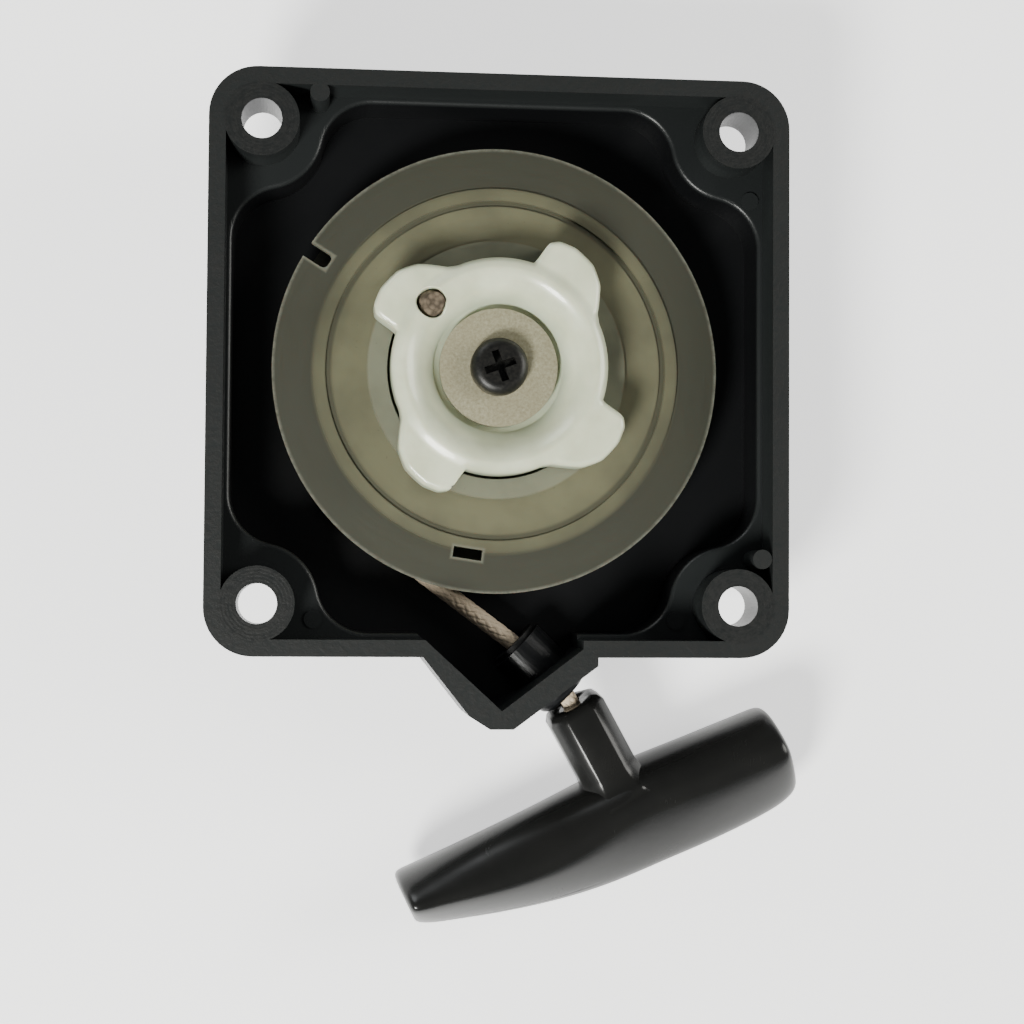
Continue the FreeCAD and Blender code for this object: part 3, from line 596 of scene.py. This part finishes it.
SEAM_UP = 2.6
BAR_RIGHT, BAR_START, BAR_LEAN = 27.0, 15.2, math.radians(4.0)
BAR_PAD, BAR_BACK, BAR_SWEEP, END_SHRINK, END_TUCK = 1.6, 2.2, 2.2, 0.5, 4.5
BAR_HALF_TALL, STEM_GAP, STEM_HALF, STEM_CUT = 7.8, 1.5, 4.8, 2.4
STATIONS = [(-38.3, 4.0, 0.40), (-38.2, 7.0, 0.38), (-36.0, 8.4, 0.38), (-32.0, 9.8, 0.40),
            (-26.0, 12.0, 0.44), (-18.0, 14.4, 0.46), (-10.0, 16.2, 0.42), (-3.0, 17.0, 0.33),
            (3.0, 17.1, 0.30), (9.0, 17.1, 0.32), (15.0, 16.8, 0.34), (20.0, 16.4, 0.34),
            (25.0, 15.6, 0.36), (27.6, 13.8, 0.38), (27.8, 9.0, 0.40)]


def gloss_black():
    finish = Finish("gloss_black", Specular_IOR_Level=0.32, IOR=1.5)
    place = finish.place()
    cloud = finish.noise(place, 7 * MM, 3)
    scratches = finish.noise(finish.node("Mapping", {}, {
        "Vector": place, "Scale": (1, 0.08, 1)}), 0.5 * MM, 3, 0.7)
    spot = finish.node("Attribute", {"attribute_name": "bar_place"}, out=1)
    across, up, along = finish.axes(spot)
    seam = (up - SEAM_UP * MM).math("ABSOLUTE", up - SEAM_UP * MM)
    line = (1 - seam.between(0.06 * MM, 0.16 * MM)) * (1 - across.between(-14 * MM, -9 * MM))
    line = line * along.between(17 * MM, 18 * MM)
    colour = finish.mix(cloud, (0.0085, 0.0088, 0.0086), (0.0130, 0.0130, 0.0122))
    colour = finish.mix(line, colour, (0.001, 0.001, 0.001))
    finish.set(Base_Color=colour, Roughness=0.16 + 0.12 * cloud + 0.06 * scratches)
    return finish.bump(cloud + scratches * 0.1 - line * 3, 0.05 * MM, 0.6)


def bar_ring(across, depth, ridge, shrink):
    """Ten corners of the bar's section: a blunt six-sided loop with a ridge above and below."""
    swept = BAR_SWEEP * max(across, 0) / BAR_RIGHT
    start = BAR_START - BAR_BACK + swept + (1 - shrink) * END_TUCK
    tall = BAR_HALF_TALL * shrink
    section = [(0.0, 0.42), (ridge - 0.13, 0.93), (ridge, 1.0), (ridge + 0.12, 0.95),
               (1.0, 0.20)]
    upper = [(start + depth * part, tall * rise) for part, rise in section]
    return [Vector((across, up, along)) for along, up in upper] + \
           [Vector((across, -up, along)) for along, up in reversed(upper)]


def grip_mesh():
    """The bar as a rounded cage of rings, and the stem as a prism that runs into it."""
    working = bmesh.new()
    loops = []
    for number, (across, depth, ridge) in enumerate(STATIONS):
        end = number in (0, len(STATIONS) - 1)
        loops.append([working.verts.new(point)
                      for point in bar_ring(across, depth + BAR_PAD, ridge,
                                            END_SHRINK if end else 1.0)])
    for first, second in zip(loops, loops[1:]):
        for place in range(len(first)):
            beside = (place + 1) % len(first)
            working.faces.new((first[place], first[beside], second[beside], second[place]))
    working.faces.new(loops[0][::-1])
    working.faces.new(loops[-1])
    bmesh.ops.rotate(working, verts=working.verts, cent=(0, 0, BAR_START),
                     matrix=Matrix.Rotation(-BAR_LEAN, 3, "Y"))
    bmesh.ops.recalc_face_normals(working, faces=working.faces)
    bar = bpy.data.meshes.new("bar_cage")
    working.to_mesh(bar)
    working.free()
    carrier = bpy.data.objects.new("bar_cage", bar)
    bpy.context.collection.objects.link(carrier)
    rounding = carrier.modifiers.new("rounding", "SUBSURF")
    rounding.levels = rounding.render_levels = 4
    graph = bpy.context.evaluated_depsgraph_get()
    smooth = bpy.data.meshes.new_from_object(carrier.evaluated_get(graph))
    bpy.data.objects.remove(carrier)
    working = bmesh.new()
    working.from_mesh(smooth)
    half, cut = STEM_HALF, STEM_HALF - STEM_CUT
    corners = [(half, -cut), (half, cut), (cut, half), (-cut, half), (-half, cut),
               (-half, -cut), (-cut, -half), (cut, -half)]
    levels = [(0.0, 0.72), (0.35, 0.87), (1.4, 1.0), (12.4, 1.0), (14.2, 1.06), (15.6, 1.22),
              (17.0, 1.5)]
    slices = []
    for along, scale in levels:
        ring = []
        for place, corner in enumerate(corners):
            after = corners[(place + 1) % 8]
            for part in (0.06, 0.94):
                mixed = [corner[axis] * (1 - part) + after[axis] * part for axis in (0, 1)]
                ring.append(working.verts.new((mixed[0] * scale, mixed[1] * scale, along)))
        slices.append(ring)
    for first, second in zip(slices, slices[1:]):
        for place in range(16):
            beside = (place + 1) % 16
            working.faces.new((first[place], first[beside], second[beside], second[place]))
    bore = [working.verts.new((1.6 * math.cos(math.tau * (place - 0.5) / 16),
                               1.6 * math.sin(math.tau * (place - 0.5) / 16), 0.0))
            for place in range(16)]
    deep = [working.verts.new((vert.co.x, vert.co.y, 17.0)) for vert in bore]
    for place in range(16):
        beside = (place + 1) % 16
        working.faces.new((slices[0][place], bore[place], bore[beside], slices[0][beside]))
        working.faces.new((bore[place], deep[place], deep[beside], bore[beside]))
        working.faces.new((deep[place], slices[-1][place], slices[-1][beside], deep[beside]))
    bmesh.ops.recalc_face_normals(working, faces=working.faces)
    mesh = bpy.data.meshes.new("pull_handle")
    working.to_mesh(mesh)
    working.free()
    spot = mesh.attributes.new("bar_place", "FLOAT_VECTOR", "POINT")
    for vert, item in zip(mesh.vertices, spot.data):
        item.vector = vert.co * MM
    turn = math.radians(PULL_ANGLE)
    side = Vector((-math.sin(turn), math.cos(turn), 0))
    frame_way = Matrix((side, pull_way.cross(side), pull_way)).transposed()
    stem_top = outlet + pull_way * STEM_GAP
    mesh.transform(Matrix.Scale(MM, 4) @ Matrix.Translation(stem_top) @ frame_way.to_4x4())
    mesh.shade_smooth()
    return mesh


grip_finish = gloss_black()
grip = bpy.data.objects.new("pull_handle", grip_mesh())
bpy.context.collection.objects.link(grip)
grip.data.materials.append(grip_finish.material)
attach(grip, "grip")
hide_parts("handle_grip")


# ---------------------------------------------------------------- floor, light and camera
# A plain pale floor that the case rests on, a key light on the handle's side and two weaker
# fills, a sky that is bright low down, and the camera looking down into the open case.

low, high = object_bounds()
floor_mesh = bpy.data.meshes.new("floor")
FLOOR_HALF = 12.0
floor_mesh.from_pydata([(-FLOOR_HALF, -FLOOR_HALF, low[2]), (FLOOR_HALF, -FLOOR_HALF, low[2]),
                        (FLOOR_HALF, FLOOR_HALF, low[2]), (-FLOOR_HALF, FLOOR_HALF, low[2])],
                       [], [(0, 1, 2, 3)])
floor = bpy.data.objects.new("floor", floor_mesh)
bpy.context.collection.objects.link(floor)
paper = Finish("pale_floor", Roughness=0.9, Specular_IOR_Level=0.1, Emission_Strength=1.2)
tone = paper.mix(paper.noise(paper.place(), 0.05, 2), (0.90, 0.90, 0.90), (0.94, 0.94, 0.94))
paper.set(Base_Color=tone, Emission_Color=tone)
floor.data.materials.append(paper.material)

HORIZON, ZENITH = 0.90, 0.09
world = bpy.data.worlds.new("studio")
bpy.context.scene.world = world
world.use_nodes = True
sky = world.node_tree
background = sky.nodes["Background"]
background.inputs["Color"].default_value = (0.96, 0.98, 1, 1)
direction = sky.nodes.new("ShaderNodeSeparateXYZ")
sky.links.new(sky.nodes.new("ShaderNodeTexCoord").outputs["Generated"], direction.inputs[0])
climb = Flow(sky, direction.outputs[2]).between(0.02, 0.40)
plug(sky, background.inputs["Strength"], HORIZON - (HORIZON - ZENITH) * climb)


def soft_light(name, place, width, power, colour):
    lamp = bpy.data.lights.new(name, "AREA")
    lamp.shape, lamp.size, lamp.energy, lamp.color = "DISK", width, power, colour
    holder = bpy.data.objects.new(name, lamp)
    holder.location = place
    holder.rotation_euler = (-Vector(place)).to_track_quat("-Z", "Y").to_euler()
    bpy.context.collection.objects.link(holder)


soft_light("front_key", (-0.30, -0.42, 0.48), 0.22, 8.5, (1.0, 1.0, 0.96))
soft_light("right_fill", (0.66, 0.12, 0.36), 0.45, 4.5, (1.0, 0.99, 0.94))
soft_light("back_fill", (-0.40, 0.60, 0.34), 0.35, 1.6, (0.95, 0.98, 1.0))

FOCAL, PICTURE, SENSOR = 2010, 1024, 36
camera_data = bpy.data.cameras.new("camera")
camera_data.sensor_width = SENSOR
camera_data.lens = SENSOR * FOCAL / PICTURE
camera_data.clip_start = 0.01
camera = bpy.data.objects.new("camera", camera_data)
camera.location = (-28.9 * MM, -34.9 * MM, 306.2 * MM)
tilt = Vector((math.radians(2.241), math.radians(-5.716), math.radians(0.477)))
camera.rotation_mode = "QUATERNION"
camera.rotation_quaternion = Quaternion(tilt.normalized(), tilt.length)
bpy.context.collection.objects.link(camera)
bpy.context.scene.camera = camera
